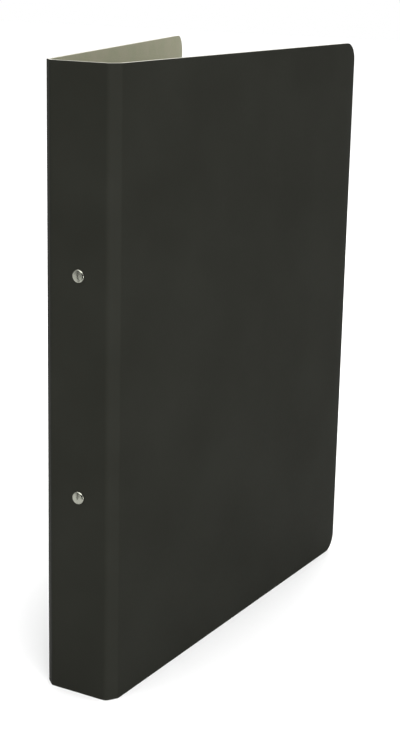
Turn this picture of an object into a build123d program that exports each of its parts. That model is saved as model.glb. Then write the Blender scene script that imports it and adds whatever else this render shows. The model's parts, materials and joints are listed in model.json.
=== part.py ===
from build123d import *
import os
from math import atan2, cos, degrees, radians, sin, sqrt, tan

# A two-ring A4 binder standing on its lower edges, half open.
# +Z is up along the spine, +X runs from the spine to the fore-edges, Y crosses the spine.
# The front cover is on the -Y side. The origin is at the foot of the spine, in the middle of its board.

# ---- Case: one board, die-cut and scored into five panels ----
case_height = 317.0
spine_width = 33.0  # crease to crease, on the outer face
strip_width = 7.0  # hinge strip between the spine and a cover
cover_width = 250.0  # outer crease to fore-edge
corner_radius = 10.0
covering_thickness = 0.25
board_thickness = 1.5
lining_thickness = 0.25
crease_gap = 0.22  # from a crease line to the start of each panel
inner_bevel = 28.0  # degrees that panel ends lean away from a spine crease
outer_bevel = 19.5  # the same at a cover crease

# Folds of the half-open case, in degrees from flat: (at the spine, at the cover)
front_folds = (55.5, 34.5)
rear_folds = (42.3, 31.0)

# ---- Rivets and posts ----
mechanism_height = 161.0  # middle of the ring mechanism above the foot
rivet_spacing = 111.4
shank_radius = 1.75
head_radius = 3.4
head_height = 1.3
head_bulge = 0.7  # how far the head's dome bows out from a straight cone
clinch_radius = 2.6
clinch_height = 0.6
clinch_bulge = 0.3
clinch_clearance = 0.4  # flat seat round the clinched end
post_radius = 2.6
flange_radius = 3.6
flange_thickness = 0.5

# ---- Housing ----
housing_length = 132.0
housing_width = 21.0
housing_rise = 6.2  # crown above the lining
shoulder_rise = 3.0
sheet = 0.7
rim_radius = 1.05
shoulder_radius = 1.6
end_radius = 8.0
lip_width = 2.2
rivet_seat_depth = 0.25
notch_width = 4.0  # along the housing, where a ring comes up
notch_clearance = 0.4  # beyond the wire, towards the middle
notch_corner_radius = 1.8

# ---- Blades ----
blade_length = 126.0
blade_thickness = 0.9
pivot_spread = 9.0  # blade axis to the middle plane
pivot_rise = 1.6  # blade axis above the lining
closed_dip = 4.5  # degrees below level with the rings closed
blade_reach = 8.83  # pivot to the middle edge
post_clearance_radius = 4.6

# ---- Rings ----
ring_spacing = 80.0
wire_radius = 1.3
ring_radius = 13.6  # of the wire's centre line
ring_rise = 14.8  # ring centre above the lining
foot_spread = 7.6  # where the wire goes through a blade, from the middle plane
foot_rise = 0.75  # lower end of the wire above the lining
bend_rise = 2.3  # where the straight foot ends
tip_gap = 0.15
tongue_radius = 0.75
tongue_length = 0.9
socket_margin = 0.35

case_thickness = covering_thickness + board_thickness + lining_thickness
outer_face = -case_thickness / 2
inner_face = case_thickness / 2
rivet_heights = {
    "upper": mechanism_height + rivet_spacing / 2,
    "lower": mechanism_height - rivet_spacing / 2,
}
ring_heights = {
    "upper": mechanism_height + ring_spacing / 2,
    "lower": mechanism_height - ring_spacing / 2,
}
sides = {"front": -1, "rear": 1}
plies = {
    "covering": (0, covering_thickness),
    "board": (covering_thickness, covering_thickness + board_thickness),
    "lining": (covering_thickness + board_thickness, case_thickness),
}

os.makedirs("parts", exist_ok=True)


def save(piece, name):
    piece.part.label = name
    export_step(piece.part, f"parts/{name}.step")


# ---- Case panels ----
def panel_heading(fold, side):
    """Direction across a panel, away from the spine, at an angle of fold from the spine."""
    return Vector(sin(radians(fold)), side * cos(radians(fold)), 0)


def panel_plane(crease, fold, side):
    """A panel's frame: x from its crease along the outer face, y inwards through the plies."""
    heading = panel_heading(fold, side)
    inwards = Vector(cos(radians(fold)), -side * sin(radians(fold)), 0)
    return Plane(origin=crease, x_dir=heading, z_dir=heading.cross(inwards))


def ply_outline(width, start_bevel, end_bevel, near, far):
    """Section of one ply between two depths. A crease end leans back; a fore-edge is square."""

    def start(depth):
        return crease_gap + depth * tan(radians(start_bevel))

    def end(depth):
        if end_bevel is None:
            return width
        return width - crease_gap - depth * tan(radians(end_bevel))

    return [(start(near), near), (end(near), near), (end(far), far), (start(far), far)]


def build_panel(name, plane, width, start_bevel, end_bevel, riveted=False):
    """The three plies of one panel, each a node of its own."""
    for ply, (near, far) in plies.items():
        with BuildPart() as sheet_part:
            with BuildSketch(plane):
                with BuildLine():
                    Polyline(*ply_outline(width, start_bevel, end_bevel, near, far), close=True)
                make_face()
            extrude(amount=case_height, dir=(0, 0, 1))
            if end_bevel is None:
                through = Axis((0, 0, 0), plane.y_dir)
                fillet(sheet_part.edges().filter_by(through), corner_radius)
            if riveted:
                with Locations(*[(0, 0, height) for height in rivet_heights.values()]):
                    Cylinder(shank_radius, 2 * case_thickness, rotation=(0, 90, 0), mode=Mode.SUBTRACT)
        save(sheet_part, f"{name}_{ply}")


spine_plane = Plane(origin=(outer_face, -spine_width / 2, 0), x_dir=(0, 1, 0), z_dir=(0, 0, -1))
build_panel("spine", spine_plane, spine_width, inner_bevel, inner_bevel, riveted=True)

for label, folds in {"front": front_folds, "rear": rear_folds}.items():
    side = sides[label]
    inner_fold, outer_fold = folds
    inner_crease = Vector(outer_face, side * spine_width / 2, 0)
    outer_crease = inner_crease + panel_heading(inner_fold, side) * strip_width
    strip_plane = panel_plane(inner_crease, inner_fold, side)
    cover_plane = panel_plane(outer_crease, inner_fold + outer_fold, side)
    build_panel(f"{label}_hinge", strip_plane, strip_width, inner_bevel, outer_bevel)
    build_panel(f"{label}_cover", cover_plane, cover_width, outer_bevel, None)
    print(label, "creases", inner_crease, outer_crease)

# ---- Housing: a sprung arched plate with curled rims ----
crown = inner_face + housing_rise
shoulder = inner_face + shoulder_rise
half_width = housing_width / 2
arch = crown - shoulder
roof_radius = (half_width**2 + arch**2) / (2 * arch)

with BuildPart() as housing:
    with BuildSketch(Plane.XY.offset(mechanism_height - housing_length / 2)) as section:
        with BuildLine():
            walls = Polyline(
                (shoulder, -half_width),
                (inner_face, -half_width),
                (inner_face, half_width),
                (shoulder, half_width),
            )
            ThreePointArc(walls @ 1, (crown, 0), walls @ 0)
        make_face()
        corners = section.vertices().group_by(Axis.X)
        fillet(corners[0], rim_radius)
        fillet(section.vertices().group_by(Axis.X)[-1], shoulder_radius)
        offset(amount=-sheet, mode=Mode.SUBTRACT)
        with Locations((inner_face, 0)):
            Rectangle(3 * sheet, housing_width - 2 * lip_width, mode=Mode.SUBTRACT)
    extrude(amount=housing_length)
    # plan outline with rounded ends
    with BuildSketch(Plane.YZ):
        with Locations((0, mechanism_height)):
            RectangleRounded(housing_width, housing_length, end_radius)
    extrude(amount=2 * crown, mode=Mode.INTERSECT)
    # rivet holes, each with a flat seat for the clinched end
    with Locations(*[(crown, 0, height) for height in rivet_heights.values()]):
        Cylinder(shank_radius, 4 * sheet, rotation=(0, 90, 0), mode=Mode.SUBTRACT)
        seat_radius = clinch_radius + clinch_clearance
        Cylinder(seat_radius, 2 * rivet_seat_depth, rotation=(0, 90, 0), mode=Mode.SUBTRACT)
    # notches that the rings come up through
    notch_depth = half_width - foot_spread + wire_radius + notch_clearance
    with BuildSketch(Plane.YZ):
        for height in ring_heights.values():
            with Locations((-half_width, height), (half_width, height)):
                RectangleRounded(2 * notch_depth, notch_width, notch_corner_radius)
    extrude(amount=2 * crown, mode=Mode.SUBTRACT)
save(housing, "ring_housing")

# ---- Posts: flanged tubes between the spine and the crown ----
crown_underside = crown - sheet
underside_radius = roof_radius - sheet
post_top = crown_underside - underside_radius + sqrt(underside_radius**2 - post_radius**2)

for label, height in rivet_heights.items():
    with BuildPart() as post:
        with BuildSketch(Plane.XY.offset(height)):
            with BuildLine():
                Polyline(
                    (inner_face, shank_radius),
                    (post_top, shank_radius),
                    (post_top, post_radius),
                    (inner_face + flange_thickness, post_radius),
                    (inner_face + flange_thickness, flange_radius),
                    (inner_face, flange_radius),
                    close=True,
                )
            make_face()
        revolve(axis=Axis((0, 0, height), (1, 0, 0)))
    save(post, f"{label}_post")

# ---- Rivets: domed head outside, shank through spine and post, clinched on the crown ----
clinch_seat = crown - rivet_seat_depth

for label, height in rivet_heights.items():
    with BuildPart() as rivet:
        with BuildSketch(Plane.XY.offset(height)):
            with BuildLine():
                crown_point = (outer_face - head_height, 0)
                dome = SagittaArc(crown_point, (outer_face, head_radius), head_bulge)
                shank = Polyline(
                    dome @ 1,
                    (outer_face, shank_radius),
                    (clinch_seat, shank_radius),
                    (clinch_seat, clinch_radius),
                )
                clinch_rim = (clinch_seat + clinch_height, shank_radius)
                clinch = SagittaArc(shank @ 1, clinch_rim, clinch_bulge)
                Polyline(clinch @ 1, (clinch_seat + clinch_height, 0), dome @ 0)
            make_face()
        revolve(axis=Axis((0, 0, height), (1, 0, 0)))
    save(rivet, f"{label}_rivet")

# ---- Blades: two toggle plates, each turning on its rim edge ----
pivot_height = inner_face + pivot_rise
foot_lower_end = inner_face + foot_rise

for label, side in sides.items():
    dip = radians(closed_dip)
    heading = Vector(-sin(dip), -side * cos(dip), 0)
    upwards = Vector(cos(dip), -side * sin(dip), 0)
    blade_foot = (pivot_height, side * pivot_spread, mechanism_height - blade_length / 2)
    blade_plane = Plane(origin=blade_foot, x_dir=heading, z_dir=heading.cross(upwards))
    with BuildPart() as blade:
        with BuildSketch(blade_plane):
            with Locations((blade_reach / 2, 0)):
                Rectangle(blade_reach, blade_thickness)
            Circle(blade_thickness / 2)
        extrude(amount=blade_length, dir=(0, 0, 1))
        with Locations(*[(inner_face, 0, height) for height in rivet_heights.values()]):
            Cylinder(post_clearance_radius, 4 * housing_rise, rotation=(0, 90, 0), mode=Mode.SUBTRACT)
        with Locations(*[(inner_face, side * foot_spread, height) for height in ring_heights.values()]):
            Cylinder(wire_radius, 4 * housing_rise, rotation=(0, 90, 0), mode=Mode.SUBTRACT)
    save(blade, f"{label}_blade")

# ---- Half rings: a straight foot, a small outward bend, then the round of the ring ----
ring_centre = inner_face + ring_rise
bend_start = inner_face + bend_rise
centre_above_bend = ring_centre - bend_start
bend_radius = (centre_above_bend**2 + foot_spread**2 - ring_radius**2) / (2 * (ring_radius - foot_spread))
bend_angle = 90 - degrees(atan2(foot_spread + bend_radius, centre_above_bend))
round_angle = 90 + bend_angle - degrees(tip_gap / ring_radius)
print("ring bend radius", bend_radius, "angle", bend_angle)


def build_half_ring(side, height):
    """A half ring on one side. In its plane x is up from the spine and y is outwards."""
    ring_plane = Plane(origin=(0, 0, height), x_dir=(1, 0, 0), z_dir=(0, 0, side))
    with BuildPart() as half_ring:
        with BuildLine(ring_plane) as path:
            foot = Line((foot_lower_end, foot_spread), (bend_start, foot_spread))
            bend = JernArc(foot @ 1, foot % 1, bend_radius, bend_angle)
            JernArc(bend @ 1, bend % 1, ring_radius, -round_angle)
        with BuildSketch(Plane(origin=path.wire() @ 0, z_dir=path.wire() % 0)):
            Circle(wire_radius)
        sweep(path=path.wire())
        tip_plane = Plane(origin=path.wire() @ 1, z_dir=path.wire() % 1)
        if side < 0:
            with BuildSketch(tip_plane):
                Circle(tongue_radius)
            with BuildSketch(tip_plane.offset(tongue_length)):
                Circle(tongue_radius / 2)
            loft()
        else:
            with BuildSketch(tip_plane):
                Circle(tongue_radius + socket_margin)
            with BuildSketch(tip_plane.offset(-tongue_length - socket_margin)):
                Circle(tongue_radius / 2 + socket_margin)
            loft(mode=Mode.SUBTRACT)
    return half_ring


for label, side in sides.items():
    for level, height in ring_heights.items():
        save(build_half_ring(side, height), f"{label}_{level}_ring")
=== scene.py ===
import json
import math

import bmesh
import bpy
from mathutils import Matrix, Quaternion, Vector


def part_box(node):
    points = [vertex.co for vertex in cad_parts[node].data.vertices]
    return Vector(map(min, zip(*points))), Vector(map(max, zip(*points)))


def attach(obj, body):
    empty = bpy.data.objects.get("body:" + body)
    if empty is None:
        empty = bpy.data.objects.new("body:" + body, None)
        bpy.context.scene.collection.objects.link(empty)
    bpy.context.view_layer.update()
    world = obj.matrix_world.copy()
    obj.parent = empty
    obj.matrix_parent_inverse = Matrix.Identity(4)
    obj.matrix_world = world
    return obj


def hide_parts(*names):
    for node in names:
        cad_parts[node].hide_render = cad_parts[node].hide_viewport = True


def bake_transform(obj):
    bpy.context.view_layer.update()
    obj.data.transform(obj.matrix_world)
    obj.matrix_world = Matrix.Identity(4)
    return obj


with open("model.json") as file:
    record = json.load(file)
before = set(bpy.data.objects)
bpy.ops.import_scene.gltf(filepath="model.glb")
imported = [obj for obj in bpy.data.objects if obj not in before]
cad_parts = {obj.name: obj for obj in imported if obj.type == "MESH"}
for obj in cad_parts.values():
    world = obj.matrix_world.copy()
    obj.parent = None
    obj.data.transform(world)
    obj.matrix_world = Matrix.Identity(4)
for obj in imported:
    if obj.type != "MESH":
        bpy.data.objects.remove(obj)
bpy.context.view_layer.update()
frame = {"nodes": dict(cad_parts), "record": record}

# A ring binder that stands half open: five panels of scored, laminated board, with a riveted
# mechanism. Lengths are in metres. The case is drawn as one sheet that bends round four scores.
# The scores, the panels' directions and the depths of the plies come from the frame.

MM = 0.001
FOLD_RADIUS = 3.0 * MM  # outer radius of a score that has been folded
FOLD_STEPS = 14
FLAT_RUN = 0.4 * MM  # flat stretch at each end of a fold piece, so its shading meets the panel's
CORNER_RADIUS = 10.0 * MM
CORNER_STEPS = 12
EDGE_ROUND = 0.12 * MM  # die-cut edges are eased by this much
EDGE_MIDDLE = 0.3 * EDGE_ROUND  # how far in from both faces the middle of an eased edge is
SHEET_CREASE = 25  # degrees between faces of a sheet beyond which the shading breaks
METAL_CREASE = 40  # the same on a turned piece

JOINTS = {joint["name"]: joint for joint in frame["record"]["behaviour"]["joints"]}
MOUNTS = {mount["name"]: mount for mount in frame["record"]["mounts"]}
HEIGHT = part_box("spine_board")[1].z
OUTER_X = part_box("spine_covering")[0].x
PLY_DEPTHS = {
    ply: (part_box(f"spine_{ply}")[0].x - OUTER_X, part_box(f"spine_{ply}")[1].x - OUTER_X)
    for ply in ("covering", "board", "lining")
}
CASE_DEPTH = PLY_DEPTHS["lining"][1]
PLY_SLOTS = {"covering": "black_covering", "board": "grey_board", "lining": "grey_lining"}


# ---- Materials ----
def grey(level):
    return (level, level, level)


class Nodes:
    """A material's node tree, with short ways to add and join nodes."""

    def __init__(self, name):
        self.material = bpy.data.materials.new(name)
        self.material.use_nodes = True
        self.tree = self.material.node_tree
        self.shader = self.tree.nodes["Principled BSDF"]

    def add(self, kind, **settings):
        node = self.tree.nodes.new(kind)
        for name, value in settings.items():
            setattr(node, name, value)
        return node

    def join(self, source, target):
        self.tree.links.new(source, target)

    def set(self, **values):
        for name, value in values.items():
            self.shader.inputs[name.replace("_", " ")].default_value = value

    def place(self, source, scale=(1, 1, 1)):
        """Texture coordinates, stretched by a scale for each axis."""
        coordinates = self.add("ShaderNodeTexCoord")
        mapping = self.add("ShaderNodeMapping")
        mapping.inputs["Scale"].default_value = scale
        self.join(coordinates.outputs[source], mapping.inputs["Vector"])
        return mapping.outputs["Vector"]

    def noise(self, vector, scale, detail, roughness):
        node = self.add("ShaderNodeTexNoise")
        node.inputs["Scale"].default_value = scale
        node.inputs["Detail"].default_value = detail
        node.inputs["Roughness"].default_value = roughness
        self.join(vector, node.inputs["Vector"])
        return node.outputs["Fac"]

    def ramp(self, factor, *stops):
        """A colour ramp through (position, colour) stops."""
        node = self.add("ShaderNodeValToRGB")
        elements = node.color_ramp.elements
        while len(elements) < len(stops):
            elements.new(0.5)
        for element, (position, colour) in zip(elements, stops):
            element.position = position
            element.color = (*colour, 1.0)
        self.join(factor, node.inputs["Fac"])
        return node.outputs["Color"]

    def spread(self, noise, low, high):
        """The part of a noise between 0.3 and 0.7, spread over a range of values."""
        node = self.add("ShaderNodeMapRange")
        node.inputs["From Min"].default_value = 0.3
        node.inputs["From Max"].default_value = 0.7
        node.inputs["To Min"].default_value = low
        node.inputs["To Max"].default_value = high
        self.join(noise, node.inputs["Value"])
        return node.outputs["Result"]

    def near_run(self, sheet, run, inner, outer):
        """1 within the inner distance of a run, on both sides of the spine, 0 past the outer."""
        across = self.add("ShaderNodeSeparateXYZ")
        self.join(sheet, across.inputs["Vector"])
        size = self.add("ShaderNodeMath", operation="ABSOLUTE")
        self.join(across.outputs["X"], size.inputs[0])
        away = self.add("ShaderNodeMath", operation="SUBTRACT")
        away.inputs[1].default_value = run
        self.join(size.outputs["Value"], away.inputs[0])
        distance = self.add("ShaderNodeMath", operation="ABSOLUTE")
        self.join(away.outputs["Value"], distance.inputs[0])
        node = self.add("ShaderNodeMapRange", interpolation_type="SMOOTHSTEP")
        node.inputs["From Min"].default_value = outer
        node.inputs["From Max"].default_value = inner
        self.join(distance.outputs["Value"], node.inputs["Value"])
        return node.outputs["Result"]

    def combine(self, blend, first, second):
        """Two colours, added or multiplied in full."""
        node = self.add("ShaderNodeMix", data_type="RGBA", blend_type=blend)
        node.inputs["Factor"].default_value = 1.0
        self.join(first, node.inputs["A"])
        self.join(second, node.inputs["B"])
        return node.outputs["Result"]

    def colour(self, source):
        self.join(source, self.shader.inputs["Base Color"])

    def roughness(self, source):
        self.join(source, self.shader.inputs["Roughness"])

    def bump(self, *layers):
        """Bump from (height, distance, strength) layers, one on the other."""
        normal = None
        for height, distance, strength in layers:
            node = self.add("ShaderNodeBump")
            node.inputs["Distance"].default_value = distance
            node.inputs["Strength"].default_value = strength
            self.join(height, node.inputs["Height"])
            if normal is not None:
                self.join(normal, node.inputs["Normal"])
            normal = node.outputs["Normal"]
        self.join(normal, self.shader.inputs["Normal"])


def covering_material():
    """Black laminated paper: fine grain, faint clouding; hinge strips polished by creasing and
    lightened in colour as a painted highlight.
    """
    nodes = Nodes("black_covering")
    sheet = nodes.place("UV")
    clouds = nodes.noise(sheet, scale=18, detail=3, roughness=0.5)
    grain = nodes.noise(sheet, scale=2600, detail=2, roughness=0.5)
    tooth = nodes.noise(nodes.place("UV", (1, 0.35, 1)), scale=900, detail=5, roughness=0.7)
    strip_middle = sum(SIDES[0].runs) / 2
    strip = nodes.near_run(sheet, strip_middle, inner=2.4 * MM, outer=4.4 * MM)
    base = nodes.ramp(
        clouds,
        (0.35, (0.0128, 0.0132, 0.0104)),
        (0.65, (0.0152, 0.0157, 0.0126)),
    )
    flecks = nodes.ramp(tooth, (0.62, grey(0)), (0.80, (0.008, 0.008, 0.007)))
    # painted highlight: the hinge strips' colour is lightened to stand in for the light their
    # creased facets catch
    strip_painted_highlight = nodes.ramp(strip, (0.0, grey(0)), (1.0, grey(0.0010)))
    nodes.colour(nodes.combine("ADD", nodes.combine("ADD", base, flecks), strip_painted_highlight))
    polish = nodes.add("ShaderNodeMath", operation="MULTIPLY_ADD")
    nodes.join(strip, polish.inputs[0])
    polish.inputs[1].default_value = -0.12  # a hinge strip is this much less rough
    nodes.join(nodes.spread(tooth, 0.72, 0.86), polish.inputs[2])
    nodes.roughness(polish.outputs["Value"])
    nodes.bump((tooth, 0.03 * MM, 0.35), (grain, 0.012 * MM, 0.3))
    nodes.set(Specular_IOR_Level=0.03)
    return nodes.material


def lining_material():
    """Grey-green lining paper: soft mottling, short fibres and a matt face."""
    nodes = Nodes("grey_lining")
    mottle = nodes.noise(nodes.place("UV"), scale=60, detail=5, roughness=0.65)
    fibres = nodes.noise(nodes.place("UV", (0.3, 1, 1)), scale=1500, detail=3, roughness=0.7)
    base = nodes.ramp(mottle, (0.30, (0.214, 0.220, 0.140)), (0.70, (0.262, 0.248, 0.178)))
    tint = nodes.ramp(fibres, (0.35, grey(0.93)), (0.65, grey(1.04)))
    nodes.colour(nodes.combine("MULTIPLY", base, tint))
    nodes.roughness(nodes.spread(mottle, 0.70, 0.82))
    nodes.bump((fibres, 0.03 * MM, 0.35), (mottle, 0.02 * MM, 0.2))
    nodes.set(Specular_IOR_Level=0.25)
    return nodes.material


def board_material():
    """The board's cut edge: pale pressed pulp in thin layers along the edge."""
    nodes = Nodes("grey_board")
    layers = nodes.noise(nodes.place("UV", (60, 9000, 1)), scale=1, detail=4, roughness=0.7)
    specks = nodes.noise(nodes.place("UV"), scale=2200, detail=3, roughness=0.6)
    base = nodes.ramp(
        layers,
        (0.30, (0.50, 0.485, 0.425)),
        (0.50, (0.64, 0.625, 0.56)),
        (0.72, (0.74, 0.725, 0.66)),
    )
    tint = nodes.ramp(specks, (0.35, grey(0.82)), (0.60, grey(1.05)))
    nodes.colour(nodes.combine("MULTIPLY", base, tint))
    nodes.bump((layers, 0.08 * MM, 0.6), (specks, 0.05 * MM, 0.4))
    nodes.set(Roughness=0.9, Specular_IOR_Level=0.2)
    return nodes.material


def nickel_material(name, colour, roughness, lines):
    """Nickel-plated steel. lines stretches the fine draw marks along the piece."""
    nodes = Nodes(name)
    marks = nodes.noise(nodes.place("Object", lines), scale=1, detail=5, roughness=0.7)
    haze = nodes.noise(nodes.place("Object"), scale=140, detail=3, roughness=0.5)
    dull = tuple(0.86 * channel for channel in colour)
    nodes.colour(nodes.ramp(haze, (0.35, dull), (0.65, colour)))
    nodes.roughness(nodes.spread(marks, roughness, roughness + 0.10))
    nodes.bump((marks, 0.01 * MM, 0.35))
    nodes.set(Metallic=1.0)
    return nodes.material


def stage_material(name, scale, low, high):
    """A plain matt surface, its grey mottled between two levels."""
    nodes = Nodes(name)
    tone = nodes.noise(nodes.place("Object"), scale=scale, detail=2, roughness=0.5)
    nodes.colour(nodes.ramp(tone, (0.3, grey(low)), (0.7, grey(high))))
    nodes.set(Roughness=0.9, Specular_IOR_Level=0.1)
    return nodes.material


# ---- Meshes ----
def link_piece(name, shape, crease, material):
    """The object made of a finished bmesh, smooth except at edges beyond the crease angle."""
    for face in shape.faces:
        face.smooth = True
    mesh = bpy.data.meshes.new(name)
    shape.to_mesh(mesh)
    shape.free()
    mesh.set_sharp_from_angle(angle=math.radians(crease))
    mesh.materials.append(material)
    piece = bpy.data.objects.new(name, mesh)
    bpy.context.collection.objects.link(piece)
    return piece


def closed_mesh(name, rings, material):
    """A closed piece from rings of (place, run, depth) points, capped at the first and last ring.

    run is the distance along the sheet and depth the distance below its outer face.
    """
    shape = bmesh.new()
    levels, facts = [], {}
    for ring in rings:
        levels.append([])
        for place, run, depth in ring:
            vert = shape.verts.new(place)
            levels[-1].append(vert)
            facts[vert] = (run, depth)
    count = len(rings[0])
    for first, second in zip(levels, levels[1:]):
        for i in range(count):
            j = (i + 1) % count
            shape.faces.new((first[i], first[j], second[j], second[i]))
    shape.faces.new(reversed(levels[0]))
    shape.faces.new(levels[-1])
    bmesh.ops.recalc_face_normals(shape, faces=shape.faces)
    map_sheet(shape, facts)
    return link_piece(name, shape, SHEET_CREASE, material)


def map_sheet(shape, facts):
    """UV map by run, depth and height, so that the grain keeps to the sheet when it bends."""
    layer = shape.loops.layers.uv.new("sheet")
    level_normal = 0.7  # a cut edge whose normal rises more than this is a top or bottom edge
    for face in shape.faces:
        depths = [facts[vert][1] for vert in face.verts]
        skin = max(depths) - min(depths) <= EDGE_ROUND
        level = abs(face.normal.z) > level_normal
        for loop in face.loops:
            run, depth = facts[loop.vert]
            height = loop.vert.co.z
            if skin:
                loop[layer].uv = (run, height)
            else:
                loop[layer].uv = (run, depth) if level else (height, depth)


# ---- Case ----
def inwards_of(heading, sign):
    """Direction into the case from a panel that heads away from the spine on one side."""
    return Vector((heading.y, -heading.x)) * sign


class Side:
    """Creases and directions of one side of the case, front (-1) or rear (+1)."""

    def __init__(self, name, sign):
        self.name, self.sign = name, sign
        self.creases = [
            Vector(JOINTS[f"{name}_{crease}_crease"]["pos_m"][:2]) for crease in ("spine", "cover")
        ]
        strip = self.creases[1] - self.creases[0]
        outwards = Vector(MOUNTS[f"{name}_face"]["axis"][:2])
        cover_heading = Vector((outwards.y, -outwards.x)) * sign
        self.headings = [Vector((0, sign)), strip.normalized(), cover_heading]
        half_spine = abs(self.creases[0].y)
        self.runs = [half_spine, half_spine + strip.length]
        self.turns = [a.angle(b) for a, b in zip(self.headings, self.headings[1:])]
        self.reach = [FOLD_RADIUS * math.tan(turn / 2) + FLAT_RUN for turn in self.turns]

    def run(self, index, offset):
        """Distance along the sheet from the middle of the spine."""
        return self.sign * (self.runs[index] + offset)

    def fold_stations(self, index):
        """Stations along one fold: a flat run, the bend, and a flat run."""
        before, after = self.headings[index : index + 2]
        first, last = inwards_of(before, self.sign), inwards_of(after, self.sign)
        crease, reach, turn = self.creases[index], self.reach[index], self.turns[index]
        bend_reach = reach - FLAT_RUN
        centre = crease - before * bend_reach + first * FOLD_RADIUS
        stations = [(crease - before * reach, first, self.run(index, -reach))]
        for step in range(FOLD_STEPS + 1):
            share = step / FOLD_STEPS
            inwards = first * math.cos(share * turn) - before * math.sin(share * turn)
            run = self.run(index, bend_reach * (2 * share - 1))
            stations.append((centre - inwards * FOLD_RADIUS, inwards, run))
        stations.append((crease + after * reach, last, self.run(index, reach)))
        return stations

    def fold_ends(self, index):
        """Where the bend starts and ends on the innermost face, which bends the tightest."""
        stations = self.fold_stations(index)
        return [
            (*(point + inwards * CASE_DEPTH), HEIGHT / 2)
            for point, inwards, _ in (stations[1], stations[-2])
        ]


SIDES = [Side("front", -1), Side("rear", 1)]
COVER_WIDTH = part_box("front_cover_board")[1].x - SIDES[0].creases[1].x

MATERIALS = {
    "black_covering": covering_material(),
    "grey_board": board_material(),
    "grey_lining": lining_material(),
    "nickel_plate": nickel_material("nickel_plate", (0.60, 0.59, 0.55), 0.24, (3000, 3000, 60)),
    "nickel_wire": nickel_material("nickel_wire", (0.66, 0.65, 0.61), 0.13, (1200, 1200, 1200)),
    "nickel_rivet": nickel_material("nickel_rivet", (0.29, 0.295, 0.25), 0.19, (900, 900, 900)),
}


def mirrored(points):
    """The same (depth, height) points at the other end of the sheet, in reverse order."""
    return [(depth, HEIGHT - height) for depth, height in reversed(points)]


def ply_profile(ply):
    """Section of a ply as (depth, height) points, with its outward corners eased."""
    near, far = PLY_DEPTHS[ply]
    if ply == "covering":
        skin = [(near + EDGE_ROUND, 0), (near + EDGE_MIDDLE, EDGE_MIDDLE), (near, EDGE_ROUND)]
        return [(far, 0), *skin, *mirrored(skin), (far, HEIGHT)]
    if ply == "lining":
        skin = [(far - EDGE_ROUND, 0), (far - EDGE_MIDDLE, EDGE_MIDDLE), (far, EDGE_ROUND)]
        return [(near, 0), *skin, *mirrored(skin), (near, HEIGHT)]
    return [(near, 0), (far, 0), (far, HEIGHT), (near, HEIGHT)]


def sheet_piece(name, ply, stations):
    """A stretch of a ply through (point on the outer face, direction inwards, run) stations."""
    rings = [
        [
            (Vector((*(point + inwards * depth), height)), run, depth)
            for depth, height in ply_profile(ply)
        ]
        for point, inwards, run in stations
    ]
    return closed_mesh(name, rings, MATERIALS[PLY_SLOTS[ply]])


def finish_sheet(piece, ply, node):
    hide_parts(f"{node}_{ply}")
    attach(piece, node)


def build_spine(ply):
    front, rear = SIDES
    inwards = Vector((1, 0))
    low = front.creases[0] - front.headings[0] * front.reach[0]
    high = rear.creases[0] - rear.headings[0] * rear.reach[0]
    stations = [(low, inwards, low.y), (high, inwards, high.y)]
    finish_sheet(sheet_piece(f"spine_{ply}_sheet", ply, stations), ply, "spine")


def build_strip(side, ply):
    heading = side.headings[1]
    inwards = inwards_of(heading, side.sign)
    stations = []
    for index, way in ((0, 1), (1, -1)):
        offset = way * side.reach[index]
        stations.append((side.creases[index] + heading * offset, inwards, side.run(index, offset)))
    piece = sheet_piece(f"{side.name}_hinge_{ply}_sheet", ply, stations)
    finish_sheet(piece, ply, f"{side.name}_hinge")


def cover_outline(start, inset):
    """Outline of a cover as (distance from its crease, height), with rounded fore-edge corners."""
    points = [(start, HEIGHT - inset), (start, inset)]
    for centre_height, first_angle in ((CORNER_RADIUS, -90), (HEIGHT - CORNER_RADIUS, 0)):
        for step in range(CORNER_STEPS + 1):
            angle = math.radians(first_angle + 90 * step / CORNER_STEPS)
            radius = CORNER_RADIUS - inset
            along = COVER_WIDTH - CORNER_RADIUS + radius * math.cos(angle)
            points.append((along, centre_height + radius * math.sin(angle)))
    return points


def cover_levels(ply):
    """(depth, inset of the outline) through a cover's ply, its outward edge eased."""
    near, far = PLY_DEPTHS[ply]
    if ply == "covering":
        eased = [(near, EDGE_ROUND), (near + EDGE_MIDDLE, EDGE_MIDDLE), (near + EDGE_ROUND, 0)]
        return [*eased, (far, 0)]
    if ply == "lining":
        eased = [(far - EDGE_ROUND, 0), (far - EDGE_MIDDLE, EDGE_MIDDLE), (far, EDGE_ROUND)]
        return [(near, 0), *eased]
    return [(near, 0), (far, 0)]


def build_cover(side, ply):
    heading = side.headings[2]
    inwards = inwards_of(heading, side.sign)
    rings = []
    for depth, inset in cover_levels(ply):
        ring = []
        for along, height in cover_outline(side.reach[1], inset):
            place = side.creases[1] + heading * along + inwards * depth
            ring.append((Vector((*place, height)), side.run(1, along), depth))
        rings.append(ring)
    piece = closed_mesh(f"{side.name}_cover_{ply}_sheet", rings, MATERIALS[PLY_SLOTS[ply]])
    finish_sheet(piece, ply, f"{side.name}_cover")


def build_fold(side, index, ply):
    """The bent stretch of a ply over one score, between two panels."""
    label = ("spine", "cover")[index]
    piece = sheet_piece(f"{side.name}_{label}_fold_{ply}", ply, side.fold_stations(index))
    start, end = side.fold_ends(index)
    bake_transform(piece)


for ply in PLY_DEPTHS:
    build_spine(ply)
    for side in SIDES:
        build_strip(side, ply)
        build_cover(side, ply)
        for index in (0, 1):
            build_fold(side, index, ply)


# ---- Mechanism ----
LATHE_STEPS = 64
RIM_RADIUS = 1.05 * MM  # round edge of a rivet's head
CROWN_RISE = 0.30 * MM  # of the head's flat crown above that edge
CLINCH_ROLL = 0.42 * MM  # radius of the rolled inner end
CLINCH_SPREAD = 1.95 * MM  # from the axis to the middle of the roll
DIMPLE_RADIUS = 1.1 * MM
SHANK_SHARE = 0.48  # a rivet's shank radius over its post's flange radius


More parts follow.
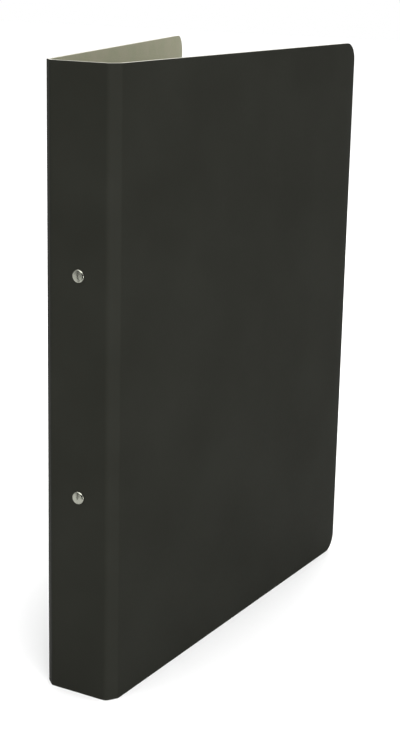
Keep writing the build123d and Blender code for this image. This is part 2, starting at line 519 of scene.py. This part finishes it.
def lathe(name, profile, height, material):
    """A turned piece on an axis along +X, from (x, radius) points that end on the axis."""
    shape = bmesh.new()
    rings = []
    for x, radius in profile[1:-1]:
        ring = []
        for step in range(LATHE_STEPS):
            angle = 2 * math.pi * step / LATHE_STEPS
            place = (x, radius * math.cos(angle), height + radius * math.sin(angle))
            ring.append(shape.verts.new(place))
        rings.append(ring)
    tips = [shape.verts.new((x, 0, height)) for x, _ in (profile[0], profile[-1])]
    for i in range(LATHE_STEPS):
        j = (i + 1) % LATHE_STEPS
        shape.faces.new((tips[0], rings[0][i], rings[0][j]))
        shape.faces.new((tips[1], rings[-1][j], rings[-1][i]))
        for first, second in zip(rings, rings[1:]):
            shape.faces.new((first[i], second[i], second[j], first[j]))
    bmesh.ops.recalc_face_normals(shape, faces=shape.faces)
    return link_piece(name, shape, METAL_CREASE, material)


def arc_points(centre, radius, first, last, steps):
    """(x, radius) points round part of a circle, by angle in degrees from the -x direction."""
    points = []
    for step in range(steps + 1):
        angle = math.radians(first + (last - first) * step / steps)
        points.append((centre[0] - radius * math.cos(angle), centre[1] + radius * math.sin(angle)))
    return points


def build_rivet(level):
    """A rivet with a flat-crowned head on the spine and a rolled end on the housing's crown."""
    low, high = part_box(f"{level}_rivet")
    head_radius = (high.y - low.y) / 2
    height = (low.z + high.z) / 2
    flat_radius = head_radius - RIM_RADIUS
    crown_radius = (flat_radius**2 + CROWN_RISE**2) / (2 * CROWN_RISE)
    crown_top = OUTER_X - RIM_RADIUS - CROWN_RISE
    opening = math.degrees(math.asin(flat_radius / crown_radius))
    shank_radius = -SHANK_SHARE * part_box(f"{level}_post")[0].y
    seat = high.x - 2 * CLINCH_ROLL
    crown = arc_points((crown_top + crown_radius, 0), crown_radius, 0, opening, 10)
    rim = arc_points((OUTER_X, flat_radius), RIM_RADIUS, 12, 90, 8)
    shank = [(OUTER_X, shank_radius), (seat, shank_radius)]
    clinch = arc_points((seat + CLINCH_ROLL, CLINCH_SPREAD), CLINCH_ROLL, 20, 180, 10)
    dimple = arc_points((high.x, 0), DIMPLE_RADIUS, 75, 0, 6)
    profile = [*crown, *rim, *shank, *clinch, *dimple]
    piece = lathe(f"{level}_rivet_turned", profile, height, MATERIALS["nickel_rivet"])
    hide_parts(f"{level}_rivet")
    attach(piece, "spine")


def dress_mechanism():
    """The CAD pieces of the mechanism keep their shape and get their metal."""
    for part in frame["record"]["subparts"]:
        slot = part["material_slot"]
        if not slot.startswith("nickel"):
            continue
        node = frame["nodes"][part["node"]]
        node.data.materials.clear()
        node.data.materials.append(MATERIALS[slot])


dress_mechanism()
for level in ("upper", "lower"):
    build_rivet(level)


# ---- Stage: camera, light and floor ----
CAMERA_PLACE = (-0.60015, -0.41473, 0.36600)
CAMERA_PITCH = math.radians(14.89)  # below level
CAMERA_YAW = math.radians(30.08)  # from +X towards +Y
CAMERA_ROLL = math.radians(1.228)
LENS = 76.28  # mm, over a sensor 36 mm on its longer side
FLOOR_REACH = 6.0


def add_camera():
    """The camera looks down a little at the spine edge, and is turned about its own axis."""
    level = math.cos(CAMERA_PITCH)
    forward = Vector(
        (level * math.cos(CAMERA_YAW), level * math.sin(CAMERA_YAW), -math.sin(CAMERA_PITCH))
    )
    data = bpy.data.cameras.new("camera")
    data.sensor_width = 36.0
    data.lens = LENS
    camera = bpy.data.objects.new("camera", data)
    camera.rotation_mode = "QUATERNION"
    roll = Quaternion((0, 0, 1), CAMERA_ROLL)
    camera.rotation_quaternion = forward.to_track_quat("-Z", "Y") @ roll
    camera.location = CAMERA_PLACE
    bpy.context.collection.objects.link(camera)
    bpy.context.scene.camera = camera


def add_softbox(name, place, target, size, power, lights=True, reflects=True):
    """A rectangular light. It may light surfaces, be mirrored by metal, or both."""
    data = bpy.data.lights.new(name, "AREA")
    data.shape = "RECTANGLE"
    data.size, data.size_y = size
    data.energy = power
    light = bpy.data.objects.new(name, data)
    light.location = place
    direction = Vector(target) - Vector(place)
    light.rotation_mode = "QUATERNION"
    light.rotation_quaternion = direction.to_track_quat("-Z", "Y")
    light.visible_camera = False
    light.visible_diffuse = lights
    light.visible_glossy = reflects
    bpy.context.collection.objects.link(light)


def add_overhead():
    """Broad even light from above, which keeps the floor white out to the horizon."""
    data = bpy.data.lights.new("overhead", "SUN")
    data.energy = 2.9
    data.angle = math.radians(80)
    light = bpy.data.objects.new("overhead", data)
    bpy.context.collection.objects.link(light)


def add_world():
    """White surroundings, brighter where they are looked at or mirrored than as a light."""
    world = bpy.data.worlds.new("studio")
    world.use_nodes = True
    bpy.context.scene.world = world
    tree = world.node_tree
    background = tree.nodes["Background"]
    background.inputs["Color"].default_value = (1, 1, 1, 1)
    path = tree.nodes.new("ShaderNodeLightPath")
    seen, mirrored_too = (tree.nodes.new("ShaderNodeMath") for _ in range(2))
    for node, ray, extra in (
        (seen, "Is Camera Ray", 0.65),
        (mirrored_too, "Is Glossy Ray", 0.45),
    ):
        node.operation = "MULTIPLY_ADD"
        tree.links.new(path.outputs[ray], node.inputs[0])
        node.inputs[1].default_value = extra
    seen.inputs[2].default_value = 0.35  # the light that the surroundings give
    tree.links.new(seen.outputs["Value"], mirrored_too.inputs[2])
    tree.links.new(mirrored_too.outputs["Value"], background.inputs["Strength"])


def add_plane(name, corners, material):
    """A flat rectangle that belongs to the stage."""
    mesh = bpy.data.meshes.new(name)
    mesh.from_pydata(corners, [], [(0, 1, 2, 3)])
    mesh.materials.append(material)
    plane = bpy.data.objects.new(name, mesh)
    bpy.context.collection.objects.link(plane)
    return plane


def add_card(name, foot, width, height, material):
    """A dark card that faces the spine and shows only in metal, as a dark band."""
    foot = Vector(foot)
    across = foot.cross((0, 0, 1)).normalized() * width / 2
    rise = Vector((0, 0, height))
    corners = [foot - across, foot + across, foot + across + rise, foot - across + rise]
    card = add_plane(name, corners, material)
    card.visible_camera = False
    card.visible_shadow = False
    card.visible_diffuse = False


add_camera()
add_softbox(
    "key", place=(-1.38, -1.22, 0.30), target=(0, 0, 0.12), size=(1.4, 0.9), power=44,
    reflects=False,
)
add_softbox(
    "strip", place=(-0.45, -1.3, 1.3), target=(0, 0, 0.2), size=(0.7, 0.3), power=4,
    reflects=False,
)
add_softbox(
    "glint", place=(-0.67, -0.31, 1.11), target=(0, 0, 0.16), size=(1.2, 0.5), power=7,
    lights=False,
)
add_softbox(
    "edge_glint", place=(-0.10, -0.59, 0.11), target=(0, 0, 0.11), size=(0.3, 0.18), power=1.0,
    lights=False,
)
add_softbox("fill", place=(1.7, 0.35, 1.3), target=(0, 0, 0.15), size=(1.0, 1.0), power=14)
add_overhead()
add_world()

floor_corners = [
    (x * FLOOR_REACH, y * FLOOR_REACH, 0) for x, y in ((-1, -1), (1, -1), (1, 1), (-1, 1))
]
add_plane("floor", floor_corners, stage_material("floor_paper", scale=3, low=0.93, high=0.95))
card_cloth = stage_material("card_cloth", scale=400, low=0.010, high=0.016)
add_card("narrow_card", foot=(-0.19, 0.11, 0), width=0.046, height=0.45, material=card_cloth)
add_card("camera_card", foot=(-0.26, -0.15, 0), width=0.49, height=0.33, material=card_cloth)
bpy.context.scene.view_settings.view_transform = "Standard"
